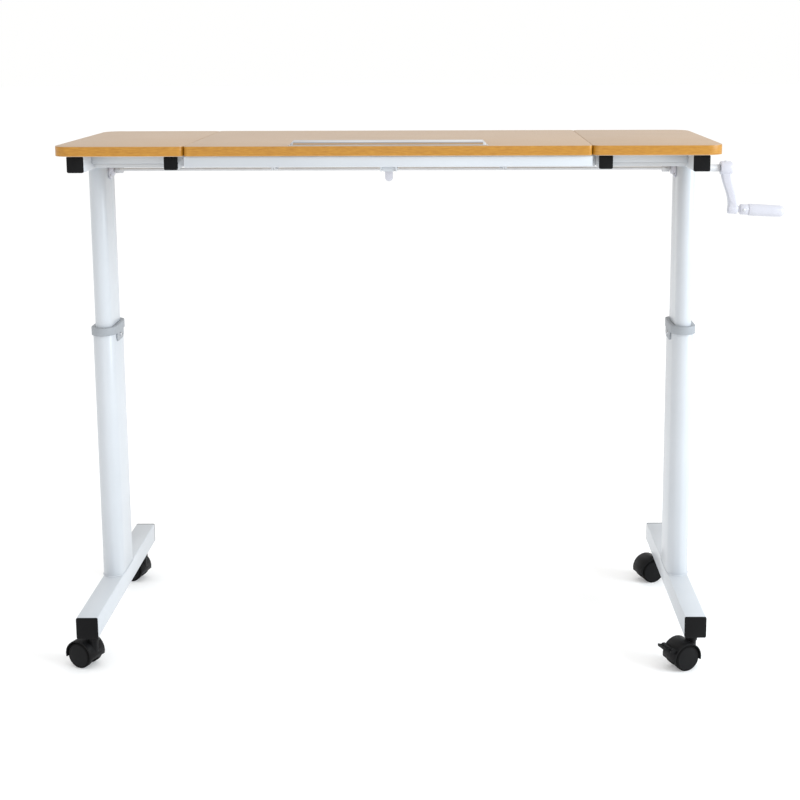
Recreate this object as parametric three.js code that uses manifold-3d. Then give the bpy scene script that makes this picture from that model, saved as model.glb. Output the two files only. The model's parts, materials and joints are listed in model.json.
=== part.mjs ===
// Overbed table on two telescopic columns, raised by a hand crank.
// Millimetres, +Z up, +X along the long side, -Y towards the person at the table.
import * as THREE from 'three';
import { mergeVertices } from 'three/addons/utils/BufferGeometryUtils.js';
import Module from 'manifold-3d';

const wasm = await Module();
wasm.setup();

// Overall
const CENTRE_SHIFT = -64.5;      // table centre to the middle of the whole footprint
const GAP = 0.3;                 // clearance between neighbouring pieces
const TOP_Z = 975;
const TOP_T = 18;
const UNDER_Z = TOP_Z - TOP_T;
const SEAT_Z = UNDER_Z - GAP;    // upper face of every beam under the boards
const TOP_HALF_X = 600;
const TOP_FRONT_Y = -188;
const TOP_REAR_Y = 212;
const SEAM_X = 365;
const CORNER_R = 30;
const SEAM_CORNER_R = 8;
const SIDE_SEAM_CORNER_R = 12;

// Columns
const COLUMN_X = 560;
const OUTER_W = 42;
const OUTER_L = 104;
const OUTER_WALL = 2.5;
const OUTER_TOP_Z = 608;
const INNER_W = 32;
const INNER_L = 94;
const INNER_WALL = 2;
const INNER_BOTTOM_Z = 438;
const INNER_TOP_Z = 926.7;
const COLLAR_PROUD = 3;
const COLLAR_TOP_Z = 615;
const COLLAR_BOTTOM_Z = 600;

// Feet
const FOOT_SIZE = 40;
const FOOT_BOTTOM_Z = 72;
const FOOT_TOP_Z = 112;
const FOOT_HALF_L = 241;
const STEM_Y = 205;

// Casters
const TRAIL = 20;
const WHEEL_R = 25;
const WHEEL_IN = 7;
const WHEEL_OUT = 20;
const HOOD_IN_R = 26.5;
const HOOD_OUT_R = 29;
const BRAKE_X = -51;             // brake pivot, measured from the swivel axis
const BRAKE_Z = 44;

// Frame under the boards
const BEAM_X = 562;
const BEAM_SIZE = 30;
const INNER_BEAM_X = 390;
const INNER_BEAM_SIZE = 25;
const BEAM_FRONT_Y = -173;
const BEAM_REAR_Y = 197;
const RAIL_T = 20;
const RAIL_H = 20;
const FRONT_RAIL_Y = -108;
const REAR_RAIL_Y = 115;
const LEAF_RAIL_FRONT_Y = -170.5;
const LEAF_RAIL_REAR_Y = 175;
const LEAF_RAIL_D = 25;
const LEAF_RAIL_H = 20;

// Tilting board
const TILT_Y = -143;
const TILT_Z = 940;
const RATCHET_X = 205;
const RATCHET_R = 13;
const LEVER_Y = -150;
const LEVER_Z = 932;
const STOP_HALF_X = 175;
const STOP_Y = -172.3;
const STOP_T = 7.4;

// Lifting drive
const SHAFT_Z = 916;
const SHAFT_R = 3;
const CRANK_END_R = 5;
const BEVEL = 9.4;               // distance of the bevel backs from the cone apex
const SCREW_R = 6;
const POST_R = 12;
const POST_TOP_Z = 545;
const CRANK_X = 630;
const CRANK_DROP = 78;
const GRIP_SAG = THREE.MathUtils.degToRad(3);

const white = new THREE.MeshStandardMaterial({ color: 0xe6e9ec, roughness: 0.38, metalness: 0.0 });
const black = new THREE.MeshStandardMaterial({ color: 0x18181a, roughness: 0.5, metalness: 0.0 });
const grey = new THREE.MeshStandardMaterial({ color: 0x8d9092, roughness: 0.55, metalness: 0.0 });
const laminate = new THREE.MeshStandardMaterial({ color: 0xd3bda6, roughness: 0.45, metalness: 0.0 });
const steel = new THREE.MeshStandardMaterial({ color: 0xb9bcc0, roughness: 0.3, metalness: 0.9 });
const aluminium = new THREE.MeshStandardMaterial({ color: 0xa9acb0, roughness: 0.35, metalness: 0.8 });
const plastic = new THREE.MeshStandardMaterial({ color: 0xe9ebee, roughness: 0.4, metalness: 0.0 });

// ---- solids ----

function solid(geometry) {
  const bare = geometry.clone();
  bare.deleteAttribute('normal');
  bare.deleteAttribute('uv');
  const merged = mergeVertices(bare, 1e-4);
  const vertProperties = new Float32Array(merged.attributes.position.array);
  const triVerts = new Uint32Array(merged.index.array);
  return new wasm.Manifold(new wasm.Mesh({ numProp: 3, vertProperties, triVerts }));
}

function join(...pieces) {
  return pieces.slice(1).reduce((sum, piece) => sum.add(solid(piece)), solid(pieces[0]));
}

function cut(body, ...tools) {
  return tools.reduce((rest, tool) => rest.subtract(solid(tool)), body);
}

function geometryOf(body) {
  const mesh = body.getMesh();
  const geometry = new THREE.BufferGeometry();
  const position = new Float32Array(mesh.vertProperties);
  geometry.setAttribute('position', new THREE.BufferAttribute(position, 3));
  geometry.setIndex(new THREE.BufferAttribute(new Uint32Array(mesh.triVerts), 1));
  const flat = geometry.toNonIndexed();
  flat.computeVertexNormals();
  return flat;
}

function meshOf(name, shape, material) {
  const geometry = shape.isBufferGeometry ? shape : geometryOf(shape);
  const mesh = new THREE.Mesh(geometry, material);
  mesh.name = name;
  return mesh;
}

// ---- basic shapes ----

function box(x0, x1, y0, y1, z0, z1) {
  const geometry = new THREE.BoxGeometry(x1 - x0, y1 - y0, z1 - z0);
  return geometry.translate((x0 + x1) / 2, (y0 + y1) / 2, (z0 + z1) / 2);
}

// A cylinder or cone along X, from x0 (radius r0) to x1 (radius r1).
function rodX(r0, r1, x0, x1, y, z, segments = 16) {
  const geometry = new THREE.CylinderGeometry(r1, r0, x1 - x0, segments);
  return geometry.rotateZ(-Math.PI / 2).translate((x0 + x1) / 2, y, z);
}

function rodY(r, y0, y1, x, z, segments = 16) {
  const geometry = new THREE.CylinderGeometry(r, r, y1 - y0, segments);
  return geometry.translate(x, (y0 + y1) / 2, z);
}

function rodZ(r, z0, z1, x, y, segments = 16) {
  const geometry = new THREE.CylinderGeometry(r, r, z1 - z0, segments);
  return geometry.rotateX(Math.PI / 2).translate(x, y, (z0 + z1) / 2);
}

// Outline drawn in the YZ plane, pulled along +X from x0 to x1.
function alongX(shape, x0, x1, curveSegments = 1) {
  const geometry = new THREE.ExtrudeGeometry(shape, { depth: x1 - x0, bevelEnabled: false, curveSegments });
  const turn = new THREE.Matrix4().makeBasis(
    new THREE.Vector3(0, 1, 0), new THREE.Vector3(0, 0, 1), new THREE.Vector3(1, 0, 0));
  return geometry.applyMatrix4(turn).translate(x0, 0, 0);
}

// Outline drawn in the XZ plane, pulled along Y from y1 down to y0.
function alongY(shape, y0, y1, curveSegments = 1) {
  const geometry = new THREE.ExtrudeGeometry(shape, { depth: y1 - y0, bevelEnabled: false, curveSegments });
  const turn = new THREE.Matrix4().makeBasis(
    new THREE.Vector3(1, 0, 0), new THREE.Vector3(0, 0, 1), new THREE.Vector3(0, -1, 0));
  return geometry.applyMatrix4(turn).translate(0, y1, 0);
}

function alongZ(shape, z0, z1, curveSegments = 4) {
  const geometry = new THREE.ExtrudeGeometry(shape, { depth: z1 - z0, bevelEnabled: false, curveSegments });
  return geometry.translate(0, 0, z0);
}

function roundedRect(path, cx, cy, w, h, r) {
  const corners = Array.isArray(r) ? r : [r, r, r, r];
  const [sw, se, ne, nw] = corners;
  const x0 = cx - w / 2;
  const x1 = cx + w / 2;
  const y0 = cy - h / 2;
  const y1 = cy + h / 2;
  path.moveTo(x0 + sw, y0);
  path.lineTo(x1 - se, y0);
  path.absarc(x1 - se, y0 + se, se, -Math.PI / 2, 0, false);
  path.lineTo(x1, y1 - ne);
  path.absarc(x1 - ne, y1 - ne, ne, 0, Math.PI / 2, false);
  path.lineTo(x0 + nw, y1);
  path.absarc(x0 + nw, y1 - nw, nw, Math.PI / 2, Math.PI, false);
  path.lineTo(x0, y0 + sw);
  path.absarc(x0 + sw, y0 + sw, sw, Math.PI, 1.5 * Math.PI, false);
  return path;
}

function squareTubeShape(cx, cy, w, h, wall) {
  const shape = roundedRect(new THREE.Shape(), cx, cy, w, h, 2.5);
  shape.holes.push(roundedRect(new THREE.Path(), cx, cy, w - 2 * wall, h - 2 * wall, 0.8));
  return shape;
}

// Flat-sided oval: two half circles joined by flats that run along Y.
function flatOval(path, cx, w, l) {
  const r = w / 2;
  const flat = (l - w) / 2;
  path.moveTo(cx + r, -flat);
  path.lineTo(cx + r, flat);
  path.absarc(cx, flat, r, 0, Math.PI, false);
  path.lineTo(cx - r, -flat);
  path.absarc(cx, -flat, r, Math.PI, 2 * Math.PI, false);
  return path;
}

function ovalBar(cx, w, l, z0, z1) {
  return alongZ(flatOval(new THREE.Shape(), cx, w, l), z0, z1, 5);
}

function ovalTube(cx, w, l, wall, z0, z1) {
  const shape = flatOval(new THREE.Shape(), cx, w, l);
  shape.holes.push(flatOval(new THREE.Path(), cx, w - 2 * wall, l - 2 * wall));
  return alongZ(shape, z0, z1, 5);
}

function polygon(points) {
  return new THREE.Shape(points.map(([x, y]) => new THREE.Vector2(x, y)));
}

// Turned piece with its axis along +Z; points are [radius, height].
function turned(points, segments = 32) {
  const profile = points.map(([r, h]) => new THREE.Vector2(r, h));
  return new THREE.LatheGeometry(profile, segments).rotateX(Math.PI / 2);
}

// ---- bases: foot, fixed column, collar, nut post ----

function footTube(x) {
  const half = FOOT_SIZE / 2;
  const middleZ = FOOT_BOTTOM_Z + half;
  const tube = alongY(squareTubeShape(x, middleZ, FOOT_SIZE, FOOT_SIZE, 2), -FOOT_HALF_L, FOOT_HALF_L);
  const hole = (y) => rodZ(4.5, FOOT_BOTTOM_Z - 1, FOOT_BOTTOM_Z + 6, x, y, 12);
  return cut(solid(tube), hole(-STEM_Y), hole(STEM_Y));
}

// Push-in end cap: a plate as wide as the tube with a plug behind it.
function endCap(x, z, size, wall, endY, outward) {
  const plateNear = endY + outward * 0.2;
  const plateFar = endY + outward * 3.2;
  const plugFar = endY - outward * 12;
  const plateShape = roundedRect(new THREE.Shape(), x, z, size, size, 2.5);
  const plate = alongY(plateShape, Math.min(plateNear, plateFar), Math.max(plateNear, plateFar));
  const inner = size / 2 - wall - GAP;
  const plugNear = plateNear + outward * 0.5;
  const plug = box(x - inner, x + inner, Math.min(plugFar, plugNear), Math.max(plugFar, plugNear),
    z - inner, z + inner);
  return join(plate, plug);
}

function outerTube(x) {
  return ovalTube(x, OUTER_W, OUTER_L, OUTER_WALL, FOOT_TOP_Z + GAP, OUTER_TOP_Z);
}

// Guide collar: a band around the column mouth, a skirt inside it and a screwed tab on the inner flat.
function collar(x) {
  const inward = -Math.sign(x);
  const proud = 2 * COLLAR_PROUD;
  const band = ovalBar(x, OUTER_W + proud, OUTER_L + proud, COLLAR_BOTTOM_Z, COLLAR_TOP_Z);
  const seat = ovalBar(x, OUTER_W + 2 * GAP, OUTER_L + 2 * GAP, COLLAR_BOTTOM_Z - 1, OUTER_TOP_Z + GAP);
  const skirtW = OUTER_W - 2 * OUTER_WALL - 2 * GAP;
  const skirtL = OUTER_L - 2 * OUTER_WALL - 2 * GAP;
  const skirt = ovalBar(x, skirtW, skirtL, 575, OUTER_TOP_Z + 2);
  const bore = ovalBar(x, INNER_W + 0.8, INNER_L + 0.8, 570, COLLAR_TOP_Z + 1);
  const face = OUTER_W / 2 + GAP;
  const faceOut = OUTER_W / 2 + COLLAR_PROUD;
  const tabShape = polygon([[-25, 602], [-25, 589], [-19, 583], [19, 583], [25, 589], [25, 602]]);
  const near = x + inward * face;
  const far = x + inward * faceOut;
  const tab = alongX(tabShape, Math.min(near, far), Math.max(near, far));
  return cut(cut(solid(band), seat).add(solid(skirt)).add(solid(tab)), bore);
}

// Tube standing on the foot inside the column, with the lifting nut in its upper end.
function nutPost(x) {
  const post = rodZ(POST_R, FOOT_TOP_Z + GAP, POST_TOP_Z, x, 0, 20);
  const bore = rodZ(9, FOOT_TOP_Z - 1, POST_TOP_Z - 25, x, 0, 16);
  const thread = rodZ(SCREW_R + 0.35, POST_TOP_Z - 30, POST_TOP_Z + 1, x, 0, 16);
  return cut(solid(post), bore, thread);
}

function addBase(parent, side, x) {
  const footZ = FOOT_BOTTOM_Z + FOOT_SIZE / 2;
  parent.add(meshOf(`${side}_outer_tube`, outerTube(x), white));
  parent.add(meshOf(`${side}_collar`, collar(x), grey));
  parent.add(meshOf(`${side}_foot_tube`, footTube(x), white));
  parent.add(meshOf(`${side}_foot_cap_front`, endCap(x, footZ, FOOT_SIZE, 2, -FOOT_HALF_L, -1), black));
  parent.add(meshOf(`${side}_foot_cap_rear`, endCap(x, footZ, FOOT_SIZE, 2, FOOT_HALF_L, 1), black));
  parent.add(meshOf(`${side}_nut_post`, nutPost(x), steel));
}

// ---- casters, drawn about their own swivel axis with the wheels trailing towards -X ----

function hoodShape() {
  const shape = new THREE.Shape();
  const from = THREE.MathUtils.degToRad(-12);
  const to = THREE.MathUtils.degToRad(192);
  shape.absarc(-TRAIL, WHEEL_R, HOOD_OUT_R, from, to, false);
  shape.absarc(-TRAIL, WHEEL_R, HOOD_IN_R, to, from, true);
  return shape;
}

function webShape() {
  const shape = new THREE.Shape();
  const degrees = THREE.MathUtils.degToRad;
  shape.absarc(-TRAIL, WHEEL_R, HOOD_OUT_R - 1, degrees(-5), degrees(185), false);
  shape.lineTo(-TRAIL - 7, WHEEL_R - 8);
  shape.lineTo(-TRAIL + 7, WHEEL_R - 8);
  return shape;
}

function brakeEars() {
  const ear = (y0) => alongY(polygon([
    [BRAKE_X - 3.6, BRAKE_Z - 3.6], [BRAKE_X + 8, BRAKE_Z - 9], [BRAKE_X + 10, BRAKE_Z - 2],
    [BRAKE_X + 3, BRAKE_Z + 3.6], [BRAKE_X - 3.6, BRAKE_Z + 3.6]]), y0, y0 + 3);
  return join(ear(-16.5), ear(13.5), rodY(1.6, -14.5, 14.5, BRAKE_X, BRAKE_Z, 12));
}

function casterHousing(braked) {
  const hood = alongY(hoodShape(), -WHEEL_OUT - 0.8, WHEEL_OUT + 0.8, 7);
  const boss = rodZ(9, 30, FOOT_BOTTOM_Z - GAP, 0, 0, 20);
  const collarRing = rodZ(11, 52, 60, 0, 0, 20);
  const roomA = rodY(HOOD_IN_R - 0.05, WHEEL_IN - 1, WHEEL_OUT + 3, -TRAIL, WHEEL_R, 28);
  const roomB = rodY(HOOD_IN_R - 0.05, -WHEEL_OUT - 3, -WHEEL_IN + 1, -TRAIL, WHEEL_R, 28);
  const web = alongY(webShape(), -WHEEL_IN + 1, WHEEL_IN - 1, 7);
  const axle = rodY(3, -WHEEL_OUT, WHEEL_OUT, -TRAIL, WHEEL_R, 12);
  const stem = rodZ(4, FOOT_BOTTOM_Z - 2, FOOT_BOTTOM_Z + 16, 0, 0, 12);
  let body = join(hood, boss, collarRing);
  if (braked) {
    body = body.add(brakeEars());
  }
  return cut(body, roomA, roomB).add(solid(web)).add(solid(axle)).add(solid(stem));
}

function wheel(direction) {
  const inner = WHEEL_IN;
  const outer = WHEEL_OUT;
  const geometry = turned([
    [3.4, inner], [23.6, inner], [WHEEL_R, inner + 1.4],
    [WHEEL_R, outer - 1.8], [23.4, outer - 0.2], [19, outer - 0.2], [17.5, outer - 2.4],
    [3.4, outer - 2.4], [3.4, inner]], 28);
  if (direction > 0) {
    geometry.rotateX(-Math.PI / 2);
  } else {
    geometry.rotateX(Math.PI / 2);
  }
  return solid(geometry.translate(-TRAIL, 0, WHEEL_R));
}

// Foot pedal of the wheel brake: a hub between the ears and a ribbed paddle behind it.
function brakePedal() {
  const paddle = alongY(polygon([
    [BRAKE_X - 14, BRAKE_Z + 5.4], [BRAKE_X - 14, BRAKE_Z + 1.6], [BRAKE_X - 2, BRAKE_Z - 2.6],
    [BRAKE_X + 2, BRAKE_Z + 1], [BRAKE_X - 1, BRAKE_Z + 3.6]]), -12, 12);
  const hub = rodY(3.6, -13.2, 13.2, BRAKE_X, BRAKE_Z, 20);
  const lip = box(BRAKE_X - 15, BRAKE_X - 12, -12, 12, BRAKE_Z + 2, BRAKE_Z + 6.6);
  return cut(join(paddle, hub, lip), rodY(2, -14, 14, BRAKE_X, BRAKE_Z, 14));
}

function addCaster(parent, name, x, y, turnDegrees, braked) {
  const caster = new THREE.Group();
  caster.position.set(x, y, 0);
  caster.rotation.z = THREE.MathUtils.degToRad(turnDegrees);
  caster.add(meshOf(`${name}_caster_housing`, casterHousing(braked), black));
  caster.add(meshOf(`${name}_wheel_a`, wheel(-1), black));
  caster.add(meshOf(`${name}_wheel_b`, wheel(1), black));
  if (braked) {
    caster.add(meshOf(`${name}_brake_pedal`, brakePedal(), black));
  }
  parent.add(caster);
}

// ---- fixed top frame ----

function leaf(x0, x1, corners) {
  const midY = (TOP_FRONT_Y + TOP_REAR_Y) / 2;
  const depth = TOP_REAR_Y - TOP_FRONT_Y;
  const shape = roundedRect(new THREE.Shape(), (x0 + x1) / 2, midY, x1 - x0, depth, corners);
  return solid(alongZ(shape, UNDER_Z, TOP_Z, 4));
}

function innerTube(x) {
  const tube = ovalTube(x, INNER_W, INNER_L, INNER_WALL, INNER_BOTTOM_Z, INNER_TOP_Z);
  const thrustPlate = ovalBar(x, INNER_W - 1, INNER_L - 1, 890, 894);
  const inward = -Math.sign(x);
  const inner = rodX(5, 5, x + inward * 15 - 4, x + inward * 15 + 4, 0, SHAFT_Z);
  const screwHole = rodZ(SCREW_R + 0.4, 880, 900, x, 0);
  let body = cut(join(tube, thrustPlate), inner, screwHole);
  if (x > 0) {
    body = cut(body, rodX(7.4, 7.4, x + 11, x + 19, 0, SHAFT_Z));
  }
  return body;
}

function outerBeam(x) {
  const middleZ = SEAT_Z - BEAM_SIZE / 2;
  return alongY(squareTubeShape(x, middleZ, BEAM_SIZE, BEAM_SIZE, 2), BEAM_FRONT_Y, BEAM_REAR_Y);
}

// Inner beam, notched from above where the two cross rails pass through it.
function innerBeam(x) {
  const size = INNER_BEAM_SIZE;
  const tube = alongY(squareTubeShape(x, SEAT_Z - size / 2, size, size, 2), BEAM_FRONT_Y, BEAM_REAR_Y);
  const reach = RAIL_T / 2 + GAP;
  const notch = (y) => box(x - size, x + size, y - reach, y + reach, SEAT_Z - RAIL_H - GAP, SEAT_Z + 5);
  return cut(solid(tube), notch(FRONT_RAIL_Y), notch(REAR_RAIL_Y));
}

// Rail across the whole frame, between the outer beams.
function crossRail(y) {
  const half = BEAM_X - BEAM_SIZE / 2 - GAP;
  return alongX(squareTubeShape(y, SEAT_Z - RAIL_H / 2, RAIL_T, RAIL_H, 2), -half, half);
}

// Round bearing flange for the cross shaft on the inner flat of a column.
function shaftBearing(x) {
  const inward = -Math.sign(x);
  const face = x + inward * (INNER_W / 2 + GAP);
  const nose = face + inward * 9;
  const flangeEnd = face + inward * 3.5;
  const flange = rodX(15, 15, Math.min(face, flangeEnd), Math.max(face, flangeEnd), 0, SHAFT_Z - 2.6, 24);
  const hub = rodX(11, 11, Math.min(face, nose), Math.max(face, nose), 0, SHAFT_Z, 20);
  const start = Math.min(x + inward * 14, nose + inward);
  const end = Math.max(x + inward * 14, nose + inward);
  return cut(join(flange, hub), rodX(SHAFT_R + 0.4, SHAFT_R + 0.4, start, end, 0, SHAFT_Z));
}

// Half of a ratchet hinge that is bolted to the front cross rail.
function ratchetFixedArm(side) {
  const inner = RATCHET_X + 4.3;
  const outer = inner + 4;
  const railFace = FRONT_RAIL_Y - RAIL_T / 2 - GAP;
  const span = (a, b) => (side > 0 ? [a, b] : [-b, -a]);
  const [d0, d1] = span(inner, outer);
  const disc = rodX(RATCHET_R, RATCHET_R, d0, d1, TILT_Y, TILT_Z, 24);
  const arm = alongX(polygon([[TILT_Y, TILT_Z - RATCHET_R], [railFace, 937.5], [railFace, 951],
    [TILT_Y, TILT_Z + RATCHET_R - 1]]), d0, d1);
  const [f0, f1] = span(inner - 12, outer + 10);
  const flange = box(f0, f1, railFace - 3, railFace, 937.5, 951);
  const [p0, p1] = span(RATCHET_X - 3, outer + 1.5);
  const pin = rodX(4, 4, p0, p1, TILT_Y, TILT_Z, 14);
  return join(disc, arm, flange, pin);
}

function addTopFrame(parent) {
  const edge = SEAM_X + 0.5;
  const seamR = SIDE_SEAM_CORNER_R;
  const leftLeaf = leaf(-TOP_HALF_X, -edge, [CORNER_R, seamR, seamR, CORNER_R]);
  const rightLeaf = leaf(edge, TOP_HALF_X, [seamR, CORNER_R, CORNER_R, seamR]);
  parent.add(meshOf('left_leaf', leftLeaf, laminate));
  parent.add(meshOf('right_leaf', rightLeaf, laminate));
  for (const [side, s] of [['left', -1], ['right', 1]]) {
    const outerZ = SEAT_Z - BEAM_SIZE / 2;
    const innerZ = SEAT_Z - INNER_BEAM_SIZE / 2;
    parent.add(meshOf(`${side}_outer_beam`, outerBeam(s * BEAM_X), white));
    parent.add(meshOf(`${side}_inner_beam`, innerBeam(s * INNER_BEAM_X), white));
    parent.add(meshOf(`${side}_outer_beam_cap_front`,
      endCap(s * BEAM_X, outerZ, BEAM_SIZE, 2, BEAM_FRONT_Y, -1), black));
    parent.add(meshOf(`${side}_outer_beam_cap_rear`,
      endCap(s * BEAM_X, outerZ, BEAM_SIZE, 2, BEAM_REAR_Y, 1), black));
    parent.add(meshOf(`${side}_inner_beam_cap_front`,
      endCap(s * INNER_BEAM_X, innerZ, INNER_BEAM_SIZE, 2, BEAM_FRONT_Y, -1), black));
    parent.add(meshOf(`${side}_inner_beam_cap_rear`,
      endCap(s * INNER_BEAM_X, innerZ, INNER_BEAM_SIZE, 2, BEAM_REAR_Y, 1), black));
    parent.add(meshOf(`${side}_inner_tube`, innerTube(s * COLUMN_X), white));
    parent.add(meshOf(`${side}_shaft_bearing`, shaftBearing(s * COLUMN_X), white));
    parent.add(meshOf(`${side}_ratchet_fixed_arm`, ratchetFixedArm(s), steel));
  }
  parent.add(meshOf('front_cross_rail', crossRail(FRONT_RAIL_Y), white));
  parent.add(meshOf('rear_cross_rail', crossRail(REAR_RAIL_Y), white));
}

// ---- tilting centre board ----

function centreLeaf() {
  const edge = SEAM_X - 0.5;
  const board = leaf(-edge, edge, SEAM_CORNER_R);
  const half = STOP_HALF_X + 1;
  const room = STOP_T / 2 + GAP;
  return cut(board, box(-half, half, STOP_Y - room, STOP_Y + room, TOP_Z - 16, TOP_Z + 1));
}

function leafRail(y) {
  const shape = squareTubeShape(y, SEAT_Z - LEAF_RAIL_H / 2, LEAF_RAIL_D, LEAF_RAIL_H, 2);
  return alongX(shape, -SEAM_X, SEAM_X);
}

// Front rail of the centre board with the folded bracket that carries the release lever.
function leafFrontRail() {
  const rail = leafRail(LEAF_RAIL_FRONT_Y);
  const rear = LEAF_RAIL_FRONT_Y + LEAF_RAIL_D / 2;
  const bottom = SEAT_Z - LEAF_RAIL_H;
  const cheek = polygon([[rear - 20, bottom + 0.6], [rear - 6, 927], [LEVER_Y + 5, 927],
    [LEVER_Y + 5, LEVER_Z + 5], [rear - 0.6, LEVER_Z + 14]]);
  const low = bottom + 0.6;
  const face = polygon([[-15, low], [-15, 934], [-9, 927], [9, 927], [15, 934], [15, low]]);
  const plate = alongY(face, rear - 6, rear - 3.5);
  const a = alongX(cheek, -15, -12.5);
  const b = alongX(cheek, 12.5, 15);
  const pin = rodX(2.5, 2.5, -14, 14, LEVER_Y, LEVER_Z, 16);
  return join(rail, a, b, plate, pin);
}

// Half of a ratchet hinge that is screwed to the underside of the centre board.
function ratchetMovingArm(side) {
  const span = (a, b) => (side > 0 ? [a, b] : [-b, -a]);
  const [d0, d1] = span(RATCHET_X, RATCHET_X + 4);
  const disc = rodX(RATCHET_R, RATCHET_R, d0, d1, TILT_Y, TILT_Z, 24);
  const web = box(d0, d1, TILT_Y - 12, TILT_Y + 12, TILT_Z, SEAT_Z - 1);
  const [f0, f1] = span(RATCHET_X - 9, RATCHET_X + 13);
  const flange = box(f0, f1, TILT_Y - 13, TILT_Y + 22, SEAT_Z - 3, SEAT_Z);
  const hole = rodX(4.4, 4.4, d0 - 1, d1 + 1, TILT_Y, TILT_Z, 14);
  return cut(join(disc, web, flange), hole);
}

function releaseLever() {
  const hub = rodX(5, 5, -12, 12, LEVER_Y, LEVER_Z, 20);
  const tab = roundedRect(new THREE.Shape(), 0, LEVER_Z - 12, 14, 24, [6.9, 6.9, 0.5, 0.5]);
  const plate = alongY(tab, LEVER_Y - 2, LEVER_Y + 2, 5);
  return cut(join(hub, plate), rodX(2.9, 2.9, -13, 13, LEVER_Y, LEVER_Z, 16));
}

// Book stop: a bar in a slot of the centre board, pushed flush when it is not needed.
function bookStop() {
  const bottom = TOP_Z - 6;
  const top = TOP_Z + 9.5;
  const half = STOP_HALF_X;
  const outline = polygon([[-half, bottom], [half, bottom], [half, top - 6], [half - 6, top],
    [-half + 6, top], [-half, top - 6]]);
  return alongY(outline, STOP_Y - STOP_T / 2, STOP_Y + STOP_T / 2);
}

function addCentreTop(parent) {
  parent.add(meshOf('centre_leaf', centreLeaf(), laminate));
  parent.add(meshOf('leaf_front_rail', leafFrontRail(), white));
  parent.add(meshOf('leaf_rear_rail', leafRail(LEAF_RAIL_REAR_Y), white));
  parent.add(meshOf('left_ratchet_moving_arm', ratchetMovingArm(-1), steel));
  parent.add(meshOf('right_ratchet_moving_arm', ratchetMovingArm(1), steel));
  parent.add(meshOf('release_lever', releaseLever(), white));
  parent.add(meshOf('book_stop', bookStop(), aluminium));
}

// ---- lifting drive: cross shaft, screws, crank ----

// The shaft spans both columns; each bevel sits on the -X side of a column's centre line.
function crossShaft() {
  const at = (r0, r1, x0, x1) => rodX(r0, r1, x0, x1, 0, SHAFT_Z);
  const bevel = (x) => at(BEVEL - GAP, BEVEL - 3, x - BEVEL, x - BEVEL + 2.7);
  const sleeve = (x0) => at(7, 7, x0, x0 + 14);
  const rod = at(SHAFT_R, SHAFT_R, -COLUMN_X - 12, CRANK_X);
  const crankEnd = at(CRANK_END_R, CRANK_END_R, CRANK_X - 3, CRANK_X + 17);
  return join(rod, crankEnd,
    bevel(-COLUMN_X), bevel(COLUMN_X), sleeve(-COLUMN_X + 28), sleeve(COLUMN_X - 42),
    at(7, 7, COLUMN_X + 11, CRANK_X - 1));
}

// Lifting screw with its bevel on top; the thrust collars sit above and below the plate in the tube.
function liftScrew(x) {
  const backZ = SHAFT_Z - BEVEL;
  const body = turned([
    [0, 480], [SCREW_R - 1.5, 480], [SCREW_R, 482], [SCREW_R, 882], [8.5, 882], [8.5, 889.6],
    [SCREW_R, 889.6], [SCREW_R, 894.4], [8.5, 894.4], [BEVEL - GAP, 901], [BEVEL - GAP, backZ],
    [BEVEL - 3, backZ + 2.7], [0, backZ + 2.7]], 16);
  return solid(body.translate(x, 0, 0));
}

// Crank arm: round boss on the shaft, an S-bent bar and the fixed half of the handle.
function crankArm() {
  const boss = turned([[0, 0], [12, 0], [13, 1.2], [13, 19], [11, 22.6], [6, 24.3], [0, 24.6]], 24)
    .rotateY(Math.PI / 2).translate(CRANK_X, 0, SHAFT_Z);
  const bore = rodX(CRANK_END_R + GAP, CRANK_END_R + GAP, CRANK_X - 1, CRANK_X + 17.5, 0, SHAFT_Z);
  const low = SHAFT_Z - CRANK_DROP;
  const outline = new THREE.Shape();
  outline.moveTo(CRANK_X + 2, SHAFT_Z - 6);
  outline.bezierCurveTo(CRANK_X + 3, SHAFT_Z - 36, CRANK_X + 17, SHAFT_Z - 40, CRANK_X + 17.5, low);
  outline.absarc(CRANK_X + 25.5, low, 8, Math.PI, 2 * Math.PI, false);
  outline.bezierCurveTo(CRANK_X + 33, SHAFT_Z - 42, CRANK_X + 21, SHAFT_Z - 36, CRANK_X + 19, SHAFT_Z - 6);
  const bar = new THREE.ExtrudeGeometry(outline, {
    depth: 10, curveSegments: 7, bevelEnabled: true, bevelSize: 2.2, bevelThickness: 3,
    bevelOffset: -2.2, bevelSegments: 1 });
  bar.applyMatrix4(new THREE.Matrix4().makeBasis(
    new THREE.Vector3(1, 0, 0),
    new THREE.Vector3(0, 0, 1),
    new THREE.Vector3(0, -1, 0))).translate(0, 5, 0);
  const handle = handleAxis(turned([
    [0, 17], [8.8, 17], [9.6, 18.5], [9.6, 33], [8.4, 35], [6, 35.4], [6, 39.5], [9, 40], [10.25, 42],
    [10.25, 55.7], [5, 55.7], [5, 112], [0, 112]], 20));
  return cut(join(boss, bar), bore).add(solid(handle));
}

// Places a piece turned about +Z on the slightly sagging handle axis.
function handleAxis(geometry) {
  return geometry.rotateY(Math.PI / 2 + GRIP_SAG).translate(CRANK_X, 0, SHAFT_Z - CRANK_DROP);
}

function grip() {
  return solid(handleAxis(turned([
    [5.4, 56], [10.6, 56], [11.5, 57.2], [11.7, 70], [11.3, 100], [11.1, 117], [9.6, 122], [6, 125.2],
    [0, 126], [0, 113], [5.4, 113], [5.4, 56]], 24)));
}

function addDrive(parent) {
  parent.add(meshOf('cross_shaft', crossShaft(), steel));
  parent.add(meshOf('crank_arm', crankArm(), plastic));
  parent.add(meshOf('crank_grip', grip(), plastic));
  parent.add(meshOf('left_lift_screw', liftScrew(-COLUMN_X), steel));
  parent.add(meshOf('right_lift_screw', liftScrew(COLUMN_X), steel));
}

// ---- whole table ----

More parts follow.
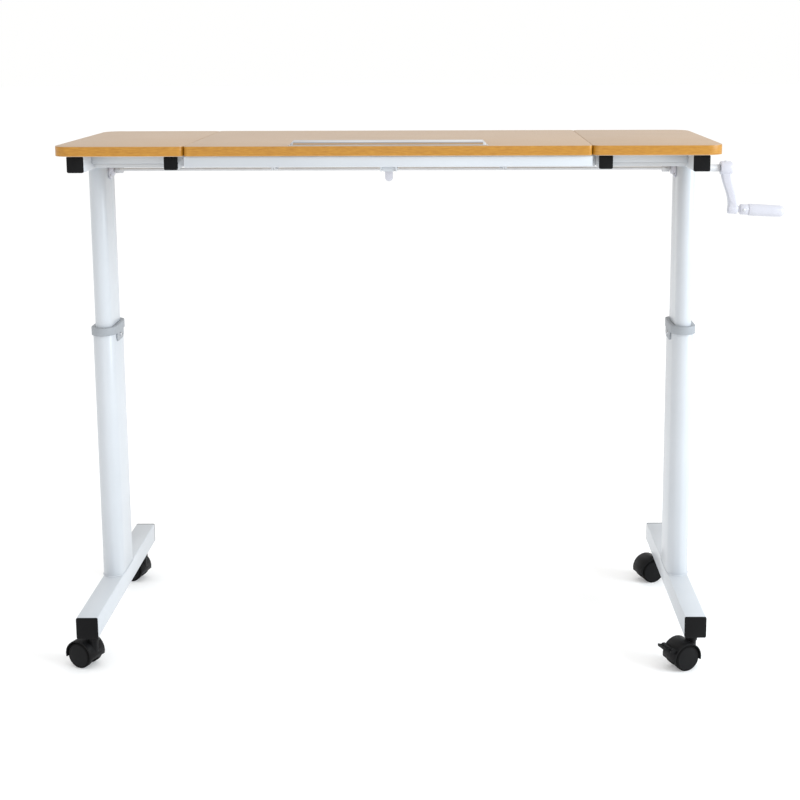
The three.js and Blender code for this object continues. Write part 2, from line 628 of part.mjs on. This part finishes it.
const table = new THREE.Group();
table.position.x = CENTRE_SHIFT;
addBase(table, 'left', -COLUMN_X);
addBase(table, 'right', COLUMN_X);
addCaster(table, 'front_left', -COLUMN_X, -STEM_Y, -24, false);
addCaster(table, 'front_right', COLUMN_X, -STEM_Y, 24, true);
addCaster(table, 'rear_left', -COLUMN_X, STEM_Y, -16, true);
addCaster(table, 'rear_right', COLUMN_X, STEM_Y, 19.5, false);
addTopFrame(table);
addCentreTop(table);
addDrive(table);

const root = new THREE.Group();
root.add(table);

export default root;
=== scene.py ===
"""Overbed table: materials, fittings, floor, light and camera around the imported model."""
import json
import math

import bmesh
import bpy
from mathutils import Matrix, Vector


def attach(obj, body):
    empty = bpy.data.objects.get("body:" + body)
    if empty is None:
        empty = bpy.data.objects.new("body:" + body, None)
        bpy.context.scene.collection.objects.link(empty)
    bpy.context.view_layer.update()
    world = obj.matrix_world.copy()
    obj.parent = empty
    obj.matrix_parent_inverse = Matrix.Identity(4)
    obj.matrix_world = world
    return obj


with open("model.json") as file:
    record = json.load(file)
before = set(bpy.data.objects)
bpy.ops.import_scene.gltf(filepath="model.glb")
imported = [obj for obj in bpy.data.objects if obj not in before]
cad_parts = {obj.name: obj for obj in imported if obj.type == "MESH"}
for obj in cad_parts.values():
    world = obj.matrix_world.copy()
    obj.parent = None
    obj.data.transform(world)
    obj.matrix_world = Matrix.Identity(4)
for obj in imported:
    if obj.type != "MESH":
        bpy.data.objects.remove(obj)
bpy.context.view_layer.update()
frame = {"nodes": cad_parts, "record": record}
NODES = frame["nodes"]
RECORD = frame["record"]

# Places on the table, in metres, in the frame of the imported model.
CENTRE_X = -0.0645      # middle of the table top; every X below is measured from it
TOP_Z = 0.975           # upper face of the boards
BOARD_FACE = 0.0006     # depth of the top surface colour
BOARD_BACK = 0.0174     # depth at which the backing starts
COLUMN_X = 0.560        # column centres
CASTER_Y = 0.205        # caster stems
WHEEL_R = 0.025
TRAIL = 0.020           # wheel axle behind the caster stem
SHAFT_Z = 0.916         # axis of the cross shaft
SLEEVE_R = 0.0069       # where a screw head sits on a coupling sleeve
HINGE_Y, HINGE_Z = -0.143, 0.940    # tilt axis of the centre leaf
RAIL_FACE_Y = -0.1213   # front of the ratchet flange on the front cross rail
LEVER_Y, LEVER_Z = -0.150, 0.932    # pin of the release lever
STOP_HALF_X = 0.170
STOP_FACE = (-0.17618, -0.17580)    # Y range of the trim on the front of the book stop
CRANK_DROP = 0.078      # crank boss to handle knuckle
INNER_BEAM_X = 0.390

# Camera: focal length and principal point in pixels of an 800 pixel frame, angles in degrees.
FRAME = 800.0
SENSOR = 36.0
CAM_F = 1347.3
CAM_CX = 446.2
CAM_CY = 250.0
CAM_PITCH = 9.005
CAM_YAW = 0.152
CAM_ROLL = -0.17
CAM_X = 0.1097
CAM_Y = -2.5835
CAM_Z = 1.1670

# ---------------------------------------------------------------- materials


def new_material(name, roughness, metallic=0.0, coat=0.0, coat_roughness=0.2):
    mat = bpy.data.materials.new(name)
    mat.use_nodes = True
    shader = mat.node_tree.nodes["Principled BSDF"]
    shader.inputs["Roughness"].default_value = roughness
    shader.inputs["Metallic"].default_value = metallic
    shader.inputs["Coat Weight"].default_value = coat
    shader.inputs["Coat Roughness"].default_value = coat_roughness
    return mat, mat.node_tree, shader


def coords(tree, scale=(1.0, 1.0, 1.0)):
    tex = tree.nodes.new("ShaderNodeTexCoord")
    mapping = tree.nodes.new("ShaderNodeMapping")
    mapping.inputs["Scale"].default_value = scale
    tree.links.new(tex.outputs["Object"], mapping.inputs["Vector"])
    return mapping.outputs["Vector"]


def noise(tree, vector, scale, detail=2.0, roughness=0.5):
    node = tree.nodes.new("ShaderNodeTexNoise")
    node.inputs["Scale"].default_value = scale
    node.inputs["Detail"].default_value = detail
    node.inputs["Roughness"].default_value = roughness
    tree.links.new(vector, node.inputs["Vector"])
    return node.outputs["Fac"]


def ramp(tree, fac, stops):
    node = tree.nodes.new("ShaderNodeValToRGB")
    elements = node.color_ramp.elements
    while len(elements) < len(stops):
        elements.new(0.5)
    for element, (position, color) in zip(elements, stops):
        element.position = position
        element.color = (*color, 1.0)
    tree.links.new(fac, node.inputs["Fac"])
    return node.outputs["Color"]


def spread(tree, fac, low, high):
    node = tree.nodes.new("ShaderNodeMapRange")
    node.inputs["From Min"].default_value = 0.3
    node.inputs["From Max"].default_value = 0.7
    node.inputs["To Min"].default_value = low
    node.inputs["To Max"].default_value = high
    tree.links.new(fac, node.inputs["Value"])
    return node.outputs["Result"]


def mix(tree, fac, a, b):
    node = tree.nodes.new("ShaderNodeMix")
    node.data_type = "RGBA"
    tree.links.new(fac, node.inputs["Factor"])
    tree.links.new(a, node.inputs[6])
    tree.links.new(b, node.inputs[7])
    return node.outputs[2]


def bump(tree, shader, height, strength, distance):
    node = tree.nodes.new("ShaderNodeBump")
    node.inputs["Strength"].default_value = strength
    node.inputs["Distance"].default_value = distance
    tree.links.new(height, node.inputs["Height"])
    tree.links.new(node.outputs["Normal"], shader.inputs["Normal"])


def plain(name, dark, light, roughness, grain, bump_strength, metallic=0.0, coat=0.0,
          broad=5.0, stretch=(1.0, 1.0, 1.0), specular=0.5):
    """A paint, plastic or metal: broad tone drift, fine grain in the bump and in the gloss."""
    mat, tree, shader = new_material(name, roughness, metallic, coat)
    shader.inputs["Specular IOR Level"].default_value = specular
    vector = coords(tree)
    fine_vector = coords(tree, stretch)
    tone = ramp(tree, noise(tree, vector, broad, 3.0), [(0.3, dark), (0.7, light)])
    tree.links.new(tone, shader.inputs["Base Color"])
    fine = noise(tree, fine_vector, grain, 3.0, 0.6)
    gloss = spread(tree, fine, roughness - 0.06, roughness + 0.07)
    tree.links.new(gloss, shader.inputs["Roughness"])
    bump(tree, shader, fine, bump_strength, 0.0002)
    return mat


def laminate_face(tree, vector):
    """Speckled beige of the upper face, over a slow drift of tone."""
    speck = ramp(tree, noise(tree, vector, 650.0, 4.0, 0.7), [
        (0.36, (0.345, 0.222, 0.122)), (0.5, (0.425, 0.281, 0.163)), (0.66, (0.480, 0.328, 0.198))])
    cloud = ramp(tree, noise(tree, vector, 14.0, 4.0, 0.6), [
        (0.3, (0.402, 0.265, 0.153)), (0.7, (0.438, 0.295, 0.175))])
    half = tree.nodes.new("ShaderNodeMix")
    half.data_type = "RGBA"
    half.inputs["Factor"].default_value = 0.38
    tree.links.new(cloud, half.inputs[6])
    tree.links.new(speck, half.inputs[7])
    return half.outputs[2]


def height_test(tree, z, operation, limit):
    """1 where a point's own height passes the test, and 0 elsewhere."""
    node = tree.nodes.new("ShaderNodeMath")
    node.operation = operation
    node.inputs[1].default_value = limit
    tree.links.new(z, node.inputs[0])
    return node.outputs["Value"]


def laminate_material():
    """Beige speckled laminate above, ochre wood-grain edge band on the sides, backing below."""
    mat, tree, shader = new_material("laminate", 0.42, coat=0.06, coat_roughness=0.3)
    vector = coords(tree)
    face = laminate_face(tree, vector)
    grain = ramp(tree, noise(tree, coords(tree, (70.0, 70.0, 520.0)), 1.0, 5.0, 0.62), [
        (0.30, (0.355, 0.147, 0.006)), (0.5, (0.425, 0.189, 0.0115)), (0.70, (0.49, 0.234, 0.022))])
    backing = ramp(tree, noise(tree, vector, 320.0, 2.0), [
        (0.3, (0.52, 0.42, 0.32)), (0.7, (0.60, 0.49, 0.38))])
    split = tree.nodes.new("ShaderNodeSeparateXYZ")
    tree.links.new(coords(tree), split.inputs["Vector"])
    above = height_test(tree, split.outputs["Z"], "GREATER_THAN", TOP_Z - BOARD_FACE)
    below = height_test(tree, split.outputs["Z"], "LESS_THAN", TOP_Z - BOARD_BACK)
    sides = mix(tree, below, grain, backing)
    tree.links.new(mix(tree, above, sides, face), shader.inputs["Base Color"])
    fine = noise(tree, vector, 900.0, 3.0, 0.6)
    tree.links.new(spread(tree, fine, 0.36, 0.5), shader.inputs["Roughness"])
    bump(tree, shader, fine, 0.10, 0.00015)
    return mat


MATS = {
    "white_paint": plain("white_powder_coat", (0.510, 0.538, 0.571), (0.550, 0.578, 0.612),
                         0.34, 1500.0, 0.14, coat=0.12),
    "black_plastic": plain("black_plastic", (0.003, 0.003, 0.0035), (0.007, 0.007, 0.0075),
                           0.42, 1200.0, 0.25, specular=0.11),
    "grey_plastic": plain("grey_plastic", (0.265, 0.285, 0.308), (0.33, 0.352, 0.378),
                          0.5, 1100.0, 0.22),
    "laminate": laminate_material(),
    "steel": plain("zinc_steel", (0.46, 0.47, 0.49), (0.62, 0.63, 0.65),
                   0.34, 700.0, 0.12, metallic=0.9, broad=30.0),
    "aluminium": plain("anodised_aluminium", (0.50, 0.505, 0.52), (0.60, 0.605, 0.615),
                       0.36, 300.0, 0.15, metallic=0.85, stretch=(0.12, 6.0, 6.0)),
    "white_plastic": plain("white_plastic", (0.50, 0.50, 0.55), (0.54, 0.54, 0.59),
                           0.36, 900.0, 0.10, coat=0.1),
    "bright_zinc": plain("bright_zinc", (0.54, 0.545, 0.56), (0.60, 0.605, 0.62),
                         0.46, 500.0, 0.10, metallic=0.05, broad=20.0),
    "tyre_rubber": plain("tread_plastic", (0.002, 0.002, 0.002), (0.005, 0.005, 0.005),
                         0.5, 900.0, 0.30, specular=0.06),
}

# ---------------------------------------------------------------- the CAD pieces


def add_modifiers(obj, width, segments):
    """Weld the seams of the faceted solid, then round its edges."""
    weld = obj.modifiers.new("weld", "WELD")
    weld.merge_threshold = 0.000002
    edge = obj.modifiers.new("edges", "BEVEL")
    edge.width = width
    edge.segments = segments
    edge.limit_method = "ANGLE"
    edge.angle_limit = math.radians(35.0)
    edge.harden_normals = True
    edge.use_clamp_overlap = True


SLOT_OF = {part["node"]: part["material_slot"] for part in RECORD["subparts"]}
# Width and segments of the rounded edges of each material's pieces.
EDGE_OF = {"laminate": (0.0011, 3), "white_paint": (0.0004, 2), "black_plastic": (0.0005, 2),
           "grey_plastic": (0.0006, 2), "steel": (0.0003, 1), "aluminium": (0.0004, 2),
           "white_plastic": (0.0005, 2), "tyre_rubber": (0.0004, 2)}

for node_name, node in NODES.items():
    slot_name = SLOT_OF[node_name]
    node.data.materials.clear()
    node.data.materials.append(MATS[slot_name])
    node.data.shade_smooth()
    add_modifiers(node, *EDGE_OF[slot_name])
NODES["cross_shaft"].data.materials[0] = MATS["bright_zinc"]

# ---------------------------------------------------------------- mesh helpers


def finish_piece(name, bm, slot_name, body, edge=0.0, smooth=True):
    """Turn bm into an object of its own that moves with body."""
    mesh = bpy.data.meshes.new(name)
    bmesh.ops.recalc_face_normals(bm, faces=bm.faces)
    bm.to_mesh(mesh)
    bm.free()
    obj = bpy.data.objects.new(name, mesh)
    bpy.context.scene.collection.objects.link(obj)
    mesh.materials.append(MATS[slot_name])
    if smooth:
        mesh.shade_smooth()
        mesh.set_sharp_from_angle(angle=math.radians(38))
    if edge:
        mod = obj.modifiers.new("edges", "BEVEL")
        mod.width = edge
        mod.segments = 2
        mod.limit_method = "ANGLE"
        mod.harden_normals = True
    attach(obj, body)
    return obj


def frame_matrix(origin, axis):
    """Local +Z goes along axis, with the origin at origin."""
    turn = Vector(axis).normalized().to_track_quat("Z", "Y").to_matrix().to_4x4()
    return Matrix.Translation(Vector(origin)) @ turn


def add_turned(bm, matrix, rings, segments=24):
    """Rings of (radius, height[, polygon sides]); a closed turned piece about local +Z."""
    loops = []
    for ring in rings:
        radius, height, sides = ring if len(ring) > 2 else (*ring, 0)
        if radius == 0:
            loops.append([bm.verts.new(matrix @ Vector((0, 0, height)))])
            continue
        loop = []
        for i in range(segments):
            a = 2 * math.pi * i / segments
            r = radius
            if sides:
                step = 2 * math.pi / sides
                r = radius / math.cos((a % step) - step / 2)
            place = Vector((r * math.cos(a), r * math.sin(a), height))
            loop.append(bm.verts.new(matrix @ place))
        loops.append(loop)
    for a, b in zip(loops, loops[1:]):
        for i in range(segments):
            j = (i + 1) % segments
            if len(a) == 1:
                bm.faces.new((a[0], b[i], b[j]))
            elif len(b) == 1:
                bm.faces.new((a[i], b[0], a[j]))
            else:
                bm.faces.new((a[i], b[i], b[j], a[j]))


def socket_screw(bm, origin, axis, r=0.0035, h=0.0022):
    """Button-head screw with a hexagon socket."""
    add_turned(bm, frame_matrix(origin, axis), [
        (0, 0), (r, 0), (r, h * 0.35), (r * 0.86, h * 0.8), (r * 0.62, h), (r * 0.42, h, 6),
        (r * 0.40, h * 0.35, 6), (0, h * 0.3)], 24)


def hex_bolt(bm, origin, axis, r=0.005, h=0.0035):
    """Hexagon head on its round flange."""
    add_turned(bm, frame_matrix(origin, axis), [
        (0, 0), (r * 1.35, 0), (r * 1.35, 0.0008), (r * 0.98, 0.0009, 6), (r * 0.98, h * 0.85, 6),
        (r * 0.86, h), (0, h)], 24)


def add_box(bm, x0, x1, y0, y1, z0, z1):
    made = bmesh.ops.create_cube(bm, size=1.0)
    scale = Matrix.Diagonal((x1 - x0, y1 - y0, z1 - z0, 1.0))
    place = Matrix.Translation(((x0 + x1) / 2, (y0 + y1) / 2, (z0 + z1) / 2))
    bmesh.ops.transform(bm, matrix=place @ scale, verts=made["verts"])
    return made["verts"]


def bead(name, points, radius, slot_name, body, cyclic=True):
    """A rounded weld bead or wire along points."""
    curve = bpy.data.curves.new(name, "CURVE")
    curve.dimensions = "3D"
    curve.bevel_depth = radius
    curve.bevel_resolution = 3
    spline = curve.splines.new("POLY")
    spline.points.add(len(points) - 1)
    for point, place in zip(spline.points, points):
        point.co = (*place, 1.0)
    spline.use_cyclic_u = cyclic
    spline.use_smooth = True
    obj = bpy.data.objects.new(name, curve)
    bpy.context.scene.collection.objects.link(obj)
    curve.materials.append(MATS[slot_name])
    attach(obj, body)
    return obj


def oval_path(cx, w, l, z, steps=14):
    """Flat oval around a column at height z: two half circles of radius w / 2."""
    r = w / 2
    flat = (l - w) / 2
    points = []
    for start, middle in ((0.0, flat), (math.pi, -flat)):
        for i in range(steps + 1):
            a = start + math.pi * i / steps
            points.append((cx + r * math.cos(a), middle + r * math.sin(a), z))
    return points


# ---------------------------------------------------------------- fittings


def side_fittings(side, s):
    """Screws, weld beads and bolts of one side; s is -1 on the left and 1 on the right."""
    x = CENTRE_X + s * COLUMN_X
    base = f"{side}_base"
    inward = (-s, 0, 0)
    bm = bmesh.new()
    socket_screw(bm, (x - s * 0.0241, 0, 0.5925), inward, 0.0042, 0.0024)
    finish_piece(f"{side}_collar_screw", bm, "steel", base)
    foot_seam = oval_path(x, 0.0424, 0.1044, 0.1128)
    bead(f"{side}_foot_weld", foot_seam, 0.0013, "white_paint", base)
    head_seam = oval_path(x, 0.0324, 0.0944, 0.9262)
    bead(f"{side}_head_weld", head_seam, 0.0011, "white_paint", "top_frame")
    bm = bmesh.new()
    face = x - s * (0.0163 + 0.0035)
    for dy in (0.0115, -0.0115):
        socket_screw(bm, (face, dy, SHAFT_Z - 0.0026 - 0.0085), inward, 0.0026, 0.0018)
    finish_piece(f"{side}_bearing_screws", bm, "steel", "top_frame")
    sleeve_x = x + (0.035 if s < 0 else -0.035)
    bm = bmesh.new()
    socket_screw(bm, (sleeve_x, 0, SHAFT_Z + SLEEVE_R), (0, 0, 1), 0.002, 0.0012)
    socket_screw(bm, (sleeve_x, -SLEEVE_R, SHAFT_Z), (0, -1, 0), 0.002, 0.0012)
    finish_piece(f"{side}_sleeve_screws", bm, "steel", "crank")
    bm = bmesh.new()
    down = (0, 0, -1)
    for y in (-0.14, -0.06, 0.06, 0.16):
        hex_bolt(bm, (CENTRE_X + s * 0.562, y, 0.9267), down, 0.0042, 0.003)
        socket_screw(bm, (CENTRE_X + s * INNER_BEAM_X, y, 0.9317), down, 0.0038, 0.0022)
    finish_piece(f"{side}_board_bolts", bm, "steel", "top_frame")
    ratchet_teeth(side, s)
    ratchet_heads(side, s)


def ratchet_teeth(side, s):
    """Toothed sector beside the moving arm of a tilt hinge."""
    bm = bmesh.new()
    x0 = CENTRE_X + s * 0.2010
    count = 18 * 4
    bore = 0.0045

    def around(x, a, r):
        return bm.verts.new((x, HINGE_Y + r * math.cos(a), HINGE_Z + r * math.sin(a)))

    rings = []
    for dx in (0.0, 0.0036):
        outer, inner = [], []
        for i in range(count):
            a = 2 * math.pi * i / count
            outer.append(around(x0 + s * dx, a, 0.0128 if i % 4 in (0, 1) else 0.0112))
            inner.append(around(x0 + s * dx, a, bore))
        rings.append((outer, inner))
    (oa, ia), (ob, ib) = rings
    for i in range(count):
        j = (i + 1) % count
        bm.faces.new((oa[i], oa[j], ob[j], ob[i]))
        bm.faces.new((ia[j], ia[i], ib[i], ib[j]))
        bm.faces.new((oa[j], oa[i], ia[i], ia[j]))
        bm.faces.new((ob[i], ob[j], ib[j], ib[i]))
    finish_piece(f"{side}_ratchet_teeth", bm, "steel", "centre_top", smooth=False)


def ratchet_heads(side, s):
    """Rivet through a tilt hinge, and the screws of its fixed arm on the cross rail."""
    bm = bmesh.new()
    outer = frame_matrix((CENTRE_X + s * 0.2148, HINGE_Y, HINGE_Z), (s, 0, 0))
    add_turned(bm, outer, [(0, 0), (0.0062, 0), (0.006, 0.0012), (0.0042, 0.0024), (0, 0.0028)])
    head = CENTRE_X + s * 0.2010 + s * 0.0012
    inner = frame_matrix((head, HINGE_Y, HINGE_Z), (-s, 0, 0))
    add_turned(bm, inner, [(0, 0), (0.0042, 0), (0.0042, 0.0016), (0.003, 0.0026), (0, 0.003)])
    finish_piece(f"{side}_ratchet_rivet", bm, "steel", "top_frame")
    bm = bmesh.new()
    for dx in (-0.004, 0.0165):
        place = (CENTRE_X + s * (0.2043 + dx), RAIL_FACE_Y, 0.9443)
        socket_screw(bm, place, (0, -1, 0), 0.003, 0.0018)
    finish_piece(f"{side}_ratchet_screws", bm, "steel", "top_frame")


def caster_fittings(name, sx, sy, turn, braked):
    """Swivel race, hub caps and pedal ribs of one caster."""
    stem = Matrix.Translation((CENTRE_X + sx, sy, 0))
    place = stem @ Matrix.Rotation(math.radians(turn), 4, "Z")
    bm = bmesh.new()
    add_turned(bm, place @ Matrix.Translation((0, 0, 0.0632)), [
        (0.0091, 0), (0.0108, 0), (0.0114, 0.0008), (0.0114, 0.0062), (0.0106, 0.0071),
        (0.0091, 0.0071), (0.0091, 0)], 32)
    finish_piece(f"{name}_swivel_race", bm, "steel", f"{name}_caster")
    for letter, d in (("a", -1), ("b", 1)):
        bm = bmesh.new()
        axle = Matrix.Translation((-TRAIL, d * 0.01765, WHEEL_R))
        hub = place @ axle @ Matrix.Rotation(-d * math.pi / 2, 4, "X")
        add_turned(bm, hub, [
            (0, 0), (0.0172, 0), (0.0172, 0.0012), (0.0215, 0.0024), (0.0208, 0.0031),
            (0.0120, 0.0036), (0, 0.0038)], 40)
        finish_piece(f"{name}_hub_cap_{letter}", bm, "black_plastic", f"{name}_wheel_{letter}")
    if braked:
        pedal_ribs(name, place)


def pedal_ribs(name, place):
    """Four grip ribs across the end of a brake pedal."""
    bm = bmesh.new()
    for k in range(4):
        x0 = -0.0640 + k * 0.0028
        low, high = 0.0488 - k * 0.0003, 0.0506 - k * 0.0004
        verts = add_box(bm, x0, x0 + 0.0011, -0.0105, 0.0105, low, high)
        bmesh.ops.transform(bm, matrix=place, verts=verts)
    finish_piece(f"{name}_pedal_ribs", bm, "black_plastic", f"{name}_brake", edge=0.0003)


def stop_trim():
    """Aluminium channel around the slot of the book stop, a grey strip painted on its bar as the
    shade of a groove, and the insert of the bar.
    """
    bm = bmesh.new()
    x0, x1 = CENTRE_X - 0.1785, CENTRE_X + 0.1785
    add_box(bm, x0, x1, -0.1798, -0.1764, TOP_Z - 0.0002, TOP_Z + 0.0012)
    add_box(bm, x0, x1, -0.1682, -0.1666, TOP_Z - 0.0002, TOP_Z + 0.0008)
    finish_piece("book_stop_channel", bm, "aluminium", "centre_top", edge=0.0004)
    x0, x1 = CENTRE_X - STOP_HALF_X, CENTRE_X + STOP_HALF_X
    bm = bmesh.new()
    # Flat grey strip on the front of the bar: painted shade standing in for a groove, with no
    # recess cut.
    add_box(bm, x0, x1, *STOP_FACE, TOP_Z + 0.0046, TOP_Z + 0.0061)
    finish_piece("book_stop_groove_shade_strip", bm, "grey_plastic", "stop", edge=0.0001)
    bm = bmesh.new()
    add_box(bm, x0, x1, *STOP_FACE, TOP_Z + 0.0014, TOP_Z + 0.0045)
    finish_piece("book_stop_insert", bm, "laminate", "stop", edge=0.0001)


def rail_lip():
    """Lower lip under the front cross rail, between the inner beams and outside them."""
    bm = bmesh.new()
    for x0, x1 in ((-0.5438, -0.4030), (-0.3770, 0.3770), (0.4030, 0.5438)):
        add_box(bm, CENTRE_X + x0, CENTRE_X + x1, -0.1178, -0.1130, 0.9308, 0.9373)
    finish_piece("front_rail_lip", bm, "white_paint", "top_frame", edge=0.0006)


def lever_parts():
    """Return spring around the lever pin, and the two pin heads outside the cheeks."""
    points = []
    steps = 5 * 16
    coil = 0.0056
    for i in range(steps + 1):
        a = 2 * math.pi * i / 16
        x = CENTRE_X + 0.0074 + 0.0042 * i / steps
        points.append((x, LEVER_Y + coil * math.cos(a), LEVER_Z + coil * math.sin(a)))
    bead("lever_spring", points, 0.00035, "steel", "centre_top", cyclic=False)
    bm = bmesh.new()
    for s in (-1, 1):
        add_turned(bm, frame_matrix((CENTRE_X + s * 0.0149, LEVER_Y, LEVER_Z), (s, 0, 0)), [
            (0, 0), (0.0036, 0), (0.0034, 0.0008), (0.002, 0.0014), (0, 0.0015)], 20)
    finish_piece("lever_pin_heads", bm, "steel", "centre_top")


def crank_parts():
    """Set screw in the crank boss, and the ends of the pin across the handle knuckle."""
    bm = bmesh.new()
    socket_screw(bm, (CENTRE_X + 0.640, 0, SHAFT_Z + 0.0128), (0, 0, 1), 0.0026, 0.0012)
    finish_piece("crank_set_screw", bm, "steel", "crank")
    low = SHAFT_Z - CRANK_DROP
    x = CENTRE_X + 0.6762
    z = low - 0.0462 * math.sin(math.radians(3))
    bm = bmesh.new()
    for s in (-1, 1):
        add_turned(bm, frame_matrix((x, s * 0.0100, z), (0, s, 0)), [
            (0, 0), (0.0028, 0), (0.0028, 0.0008), (0.0018, 0.0014), (0, 0.0015)], 20)
    finish_piece("handle_pin_heads", bm, "steel", "crank")


for side_name, sign in (("left", -1), ("right", 1)):
    side_fittings(side_name, sign)
caster_fittings("front_left", -COLUMN_X, -CASTER_Y, -24, False)
caster_fittings("front_right", COLUMN_X, -CASTER_Y, 24, True)
caster_fittings("rear_left", -COLUMN_X, CASTER_Y, -16, True)
caster_fittings("rear_right", COLUMN_X, CASTER_Y, 19.5, False)
stop_trim()
rail_lip()
lever_parts()
crank_parts()

# ---------------------------------------------------------------- floor, light, camera


def floor():
    """Plain pale ground plane."""
    bm = bmesh.new()
    bmesh.ops.create_grid(bm, x_segments=1, y_segments=1, size=30.0)
    mesh = bpy.data.meshes.new("floor")
    bm.to_mesh(mesh)
    bm.free()
    obj = bpy.data.objects.new("floor", mesh)
    bpy.context.scene.collection.objects.link(obj)
    mat, tree, shader = new_material("floor", 0.9)
    tone = ramp(tree, noise(tree, coords(tree), 1.2, 2.0), [
        (0.3, (0.86, 0.86, 0.86)), (0.7, (0.88, 0.88, 0.88))])
    tree.links.new(tone, shader.inputs["Base Color"])
    shader.inputs["Specular IOR Level"].default_value = 0.1
    shader.inputs["Emission Color"].default_value = (1.0, 1.0, 1.0, 1.0)
    shader.inputs["Emission Strength"].default_value = 0.16
    mesh.materials.append(mat)


def area(name, place, target, size, energy, color):
    """Round soft light at place, aimed at target."""
    data = bpy.data.lights.new(name, "AREA")
    data.shape = "DISK"
    data.size = size
    data.energy = energy
    data.color = color
    obj = bpy.data.objects.new(name, data)
    obj.location = place
    obj.rotation_euler = (Vector(target) - Vector(place)).to_track_quat("-Z", "Y").to_euler()
    bpy.context.scene.collection.objects.link(obj)


def lights():
    """Even white surround, with a cool key from the right and two weak fills."""
    world = bpy.data.worlds.new("studio")
    world.use_nodes = True
    back = world.node_tree.nodes["Background"]
    back.inputs["Color"].default_value = (1.0, 1.0, 0.995, 1.0)
    back.inputs["Strength"].default_value = 1.0
    bpy.context.scene.world = world
    area("key_right", (3.4, -1.6, 1.9), (0.1, 0.0, 0.55), 2.2, 105.0, (0.86, 0.94, 1.0))
    area("top_soft", (0.4, -0.3, 3.4), (0.0, 0.0, 0.6), 3.0, 8.0, (1.0, 1.0, 1.0))
    area("front_fill", (-0.6, -4.2, 1.6), (0.0, 0.0, 0.5), 2.6, 12.0, (0.98, 0.99, 1.0))


def camera():
    """Camera in front of the table, with its frame shifted to keep the columns upright."""
    data = bpy.data.cameras.new("camera")
    data.sensor_width = SENSOR
    data.sensor_fit = "HORIZONTAL"
    data.lens = CAM_F * SENSOR / FRAME
    data.shift_x = -(CAM_CX - FRAME / 2) / FRAME
    data.shift_y = (CAM_CY - FRAME / 2) / FRAME
    data.clip_end = 100.0
    obj = bpy.data.objects.new("camera", data)
    obj.location = (CENTRE_X + CAM_X, CAM_Y, CAM_Z)
    yaw = Matrix.Rotation(math.radians(CAM_YAW), 4, "Z")
    pitch = Matrix.Rotation(math.radians(90.0 - CAM_PITCH), 4, "X")
    roll = Matrix.Rotation(math.radians(CAM_ROLL), 4, "Z")
    obj.rotation_euler = (yaw @ pitch @ roll).to_euler()
    bpy.context.scene.collection.objects.link(obj)
    bpy.context.scene.camera = obj


floor()
lights()
camera()
bpy.context.scene.view_settings.view_transform = "Standard"
bpy.context.scene.view_settings.look = "None"
